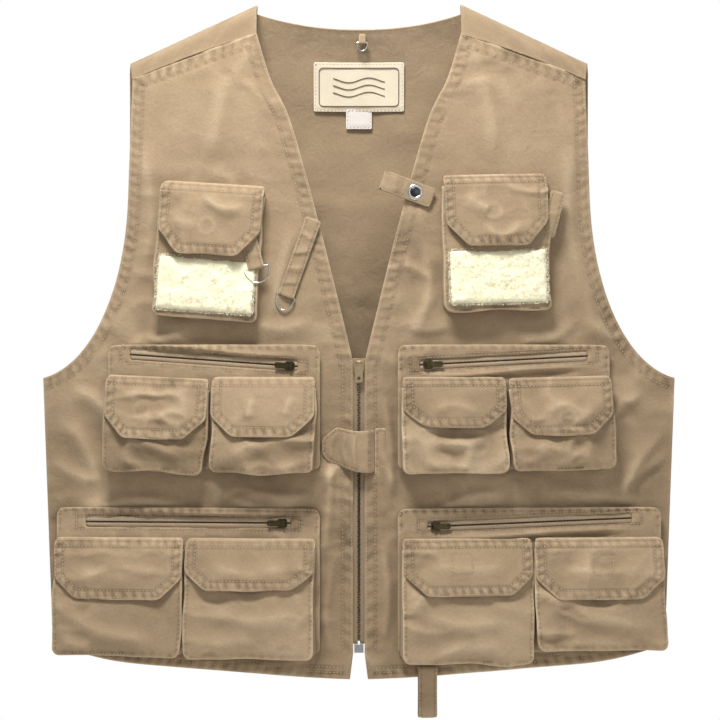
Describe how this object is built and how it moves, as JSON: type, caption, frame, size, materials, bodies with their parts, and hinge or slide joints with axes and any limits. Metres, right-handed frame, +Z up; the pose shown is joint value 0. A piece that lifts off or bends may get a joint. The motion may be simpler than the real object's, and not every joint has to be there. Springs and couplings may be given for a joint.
{
  "type": "fishing vest",
  "caption": "Sleeveless khaki fishing vest with a V neck, centre zip, flapped cargo pockets, zipped flat pockets, fleece patches and ring tabs.",
  "frame": {"origin": "midway between the neck ends of the two shoulders, on top of the shoulder folds, where a hanger holds it", "axes": "+Z up towards the neck; the front faces -Y; +X is the wearer's left"},
  "size_m": [0.582, 0.0901, 0.6534],
  "materials": {
    "twill": "washed cotton twill, khaki",
    "lining_twill": "washed cotton twill, khaki, seen from inside",
    "fleece": "cream pile fleece",
    "label": "woven satin label, blank",
    "zip_tape": "woven zip tape with its teeth",
    "brass": "pale plated zip slider",
    "dark_bronze": "dark bronze enamel",
    "nickel": "nickel plate"
  },
  "bodies": {
    "root": {"back_panel": "lining_twill", "front_panel_right": "twill", "front_panel_left": "twill", "right_chest_pocket": "twill", "right_fleece_patch": "fleece", "chest_ring_tab": "twill", "right_mid_zip_chain": "zip_tape", "right_mid_zip_pocket": "twill", "right_mid_inner_pocket": "twill", "right_mid_outer_pocket": "twill", "right_lower_zip_chain": "zip_tape", "right_lower_zip_pocket": "twill", "right_lower_inner_pocket": "twill", "right_lower_outer_pocket": "twill", "left_chest_pocket": "twill", "left_fleece_patch": "fleece", "left_chest_tab": "twill", "left_mid_zip_chain": "zip_tape", "left_mid_zip_pocket": "twill", "left_mid_inner_pocket": "twill", "left_mid_outer_pocket": "twill", "left_lower_zip_chain": "zip_tape", "left_lower_zip_pocket": "twill", "left_lower_inner_pocket": "twill", "left_lower_outer_pocket": "twill", "snap_tab_base": "twill", "zip_stringer_left": "zip_tape", "zip_stringer_right": "zip_tape", "zip_retainer_box": "nickel", "hang_ring_tab": "twill", "neck_label": "label"},
    "main_slider": {"zip_slider": "brass"},
    "main_pull": {"zip_pull": "brass"},
    "right_mid_slider": {"right_mid_zip_slider": "dark_bronze"},
    "right_mid_pull": {"right_mid_zip_pull": "dark_bronze"},
    "right_lower_slider": {"right_lower_zip_slider": "dark_bronze"},
    "right_lower_pull": {"right_lower_zip_pull": "dark_bronze"},
    "left_mid_slider": {"left_mid_zip_slider": "dark_bronze"},
    "left_mid_pull": {"left_mid_zip_pull": "dark_bronze"},
    "left_lower_slider": {"left_lower_zip_slider": "dark_bronze"},
    "left_lower_pull": {"left_lower_zip_pull": "dark_bronze"},
    "right_chest_flap": {"right_chest_flap": "twill"},
    "left_chest_flap": {"left_chest_flap": "twill"},
    "right_mid_inner_flap": {"right_mid_inner_flap": "twill"},
    "right_mid_outer_flap": {"right_mid_outer_flap": "twill"},
    "right_lower_inner_flap": {"right_lower_inner_flap": "twill"},
    "right_lower_outer_flap": {"right_lower_outer_flap": "twill"},
    "left_mid_inner_flap": {"left_mid_inner_flap": "twill"},
    "left_mid_outer_flap": {"left_mid_outer_flap": "twill"},
    "left_lower_inner_flap": {"left_lower_inner_flap": "twill"},
    "left_lower_outer_flap": {"left_lower_outer_flap": "twill"},
    "chest_ring": {"chest_ring": "nickel"},
    "neck_tab": {"neck_tab": "twill"},
    "neck_ring": {"neck_ring": "nickel"},
    "snap_tab": {"snap_tab": "twill", "snap_cap": "nickel"},
    "waist_tab": {"waist_tab": "twill"},
    "rod_loop": {"rod_loop": "twill"},
    "hang_ring": {"hang_ring": "nickel"}
  },
  "joints": [
    {"name": "main_zip_slide", "type": "slide", "parent": "root", "child": "main_slider", "axis": [0, 0, -1], "range_m": [0, 0.2454]},
    {"name": "main_pull_swing", "type": "hinge", "parent": "main_slider", "child": "main_pull", "pos_m": [0, -0.03465, -0.329], "axis": [-1, 0, 0], "range_deg": [0, 150]},
    {"name": "right_mid_zip_slide", "type": "slide", "parent": "root", "child": "right_mid_slider", "axis": [-0.9912, 0.1121, 0.0698], "range_m": [0, 0.1406]},
    {"name": "right_mid_pull_swing", "type": "hinge", "parent": "right_mid_slider", "child": "right_mid_pull", "pos_m": [-0.06178, -0.03417, -0.33302], "axis": [0.0693, -0.0078, 0.9976], "range_deg": [0, 150]},
    {"name": "right_lower_zip_slide", "type": "slide", "parent": "root", "child": "right_lower_slider", "axis": [-0.9937, 0.1124, 0], "range_m": [0, 0.1746]},
    {"name": "right_lower_pull_swing", "type": "hinge", "parent": "right_lower_slider", "child": "right_lower_pull", "pos_m": [-0.06857, -0.0334, -0.476], "axis": [0, 0, 1], "range_deg": [0, 150]},
    {"name": "left_mid_zip_slide", "type": "slide", "parent": "root", "child": "left_mid_slider", "axis": [0.9923, 0.1122, 0.0523], "range_m": [0, 0.1406]},
    {"name": "left_mid_pull_swing", "type": "hinge", "parent": "left_mid_slider", "child": "left_mid_pull", "pos_m": [0.06171, -0.03418, -0.33176], "axis": [0.052, 0.0059, -0.9986], "range_deg": [0, 150]},
    {"name": "left_lower_zip_slide", "type": "slide", "parent": "root", "child": "left_lower_slider", "axis": [0.9931, 0.1123, 0.0349], "range_m": [0, 0.1746]},
    {"name": "left_lower_pull_swing", "type": "hinge", "parent": "left_lower_slider", "child": "left_lower_pull", "pos_m": [0.06862, -0.0334, -0.4791], "axis": [0.0347, 0.0039, -0.9994], "range_deg": [0, 150]},
    {"name": "right_chest_flap_lift", "type": "hinge", "parent": "root", "child": "right_chest_flap", "pos_m": [-0.13189, -0.02025, -0.166], "axis": [-0.9914, 0.1121, 0.068], "range_deg": [0, 115]},
    {"name": "left_chest_flap_lift", "type": "hinge", "parent": "root", "child": "left_chest_flap", "pos_m": [0.12294, -0.02126, -0.158], "axis": [-0.9933, -0.1123, -0.0279], "range_deg": [0, 115]},
    {"name": "right_mid_inner_flap_lift", "type": "hinge", "parent": "root", "child": "right_mid_inner_flap", "pos_m": [-0.08603, -0.03077, -0.343], "axis": [-0.9937, 0.1124, 0], "range_deg": [0, 105]},
    {"name": "right_mid_outer_flap_lift", "type": "hinge", "parent": "root", "child": "right_mid_outer_flap", "pos_m": [-0.18291, -0.01981, -0.343], "axis": [-0.9927, 0.1123, 0.0436], "range_deg": [0, 105]},
    {"name": "right_lower_inner_flap_lift", "type": "hinge", "parent": "root", "child": "right_lower_inner_flap", "pos_m": [-0.09795, -0.02942, -0.49], "axis": [-0.9937, 0.1124, 0], "range_deg": [0, 100]},
    {"name": "right_lower_outer_flap_lift", "type": "hinge", "parent": "root", "child": "right_lower_outer_flap", "pos_m": [-0.21868, -0.01577, -0.49], "axis": [-0.9937, 0.1124, 0], "range_deg": [0, 100]},
    {"name": "left_mid_inner_flap_lift", "type": "hinge", "parent": "root", "child": "left_mid_inner_flap", "pos_m": [0.08603, -0.03077, -0.343], "axis": [-0.9937, -0.1124, 0], "range_deg": [0, 105]},
    {"name": "left_mid_outer_flap_lift", "type": "hinge", "parent": "root", "child": "left_mid_outer_flap", "pos_m": [0.18291, -0.01981, -0.343], "axis": [-0.9933, -0.1123, -0.0262], "range_deg": [0, 105]},
    {"name": "left_lower_inner_flap_lift", "type": "hinge", "parent": "root", "child": "left_lower_inner_flap", "pos_m": [0.09795, -0.02942, -0.49], "axis": [-0.9937, -0.1124, 0], "range_deg": [0, 100]},
    {"name": "left_lower_outer_flap_lift", "type": "hinge", "parent": "root", "child": "left_lower_outer_flap", "pos_m": [0.21868, -0.01577, -0.49], "axis": [-0.9937, -0.1124, 0], "range_deg": [0, 100]},
    {"name": "chest_ring_swing", "type": "hinge", "parent": "root", "child": "chest_ring", "pos_m": [-0.0933, -0.0377, -0.24369], "axis": [-0.9614, 0.0906, -0.26], "range_deg": [0, 100]},
    {"name": "neck_tab_swing", "type": "hinge", "parent": "root", "child": "neck_tab", "pos_m": [-0.04113, -0.03193, -0.199], "axis": [-0.9337, 0.1056, 0.342], "range_deg": [0, 120]},
    {"name": "neck_ring_swing", "type": "hinge", "parent": "neck_tab", "child": "neck_ring", "pos_m": [-0.06628, -0.02908, -0.26854], "axis": [-0.9337, 0.1056, 0.342], "range_deg": [0, 100]},
    {"name": "snap_tab_open", "type": "hinge", "parent": "root", "child": "snap_tab", "pos_m": [0.02225, -0.03406, -0.164], "axis": [-0.3399, -0.0384, -0.9397], "range_deg": [0, 150]},
    {"name": "waist_tab_open", "type": "hinge", "parent": "root", "child": "waist_tab", "pos_m": [0.0138, -0.0335, -0.393], "axis": [0, 0, 1], "range_deg": [0, 115]},
    {"name": "rod_loop_swing", "type": "hinge", "parent": "root", "child": "rod_loop", "pos_m": [0.06233, -0.03255, -0.6095], "axis": [-0.9937, -0.1124, 0], "range_deg": [0, 90]},
    {"name": "hang_ring_swing", "type": "hinge", "parent": "root", "child": "hang_ring", "pos_m": [0.003, 0.01296, -0.033], "axis": [-1, 0, 0], "range_deg": [0, 90]}
  ]
}
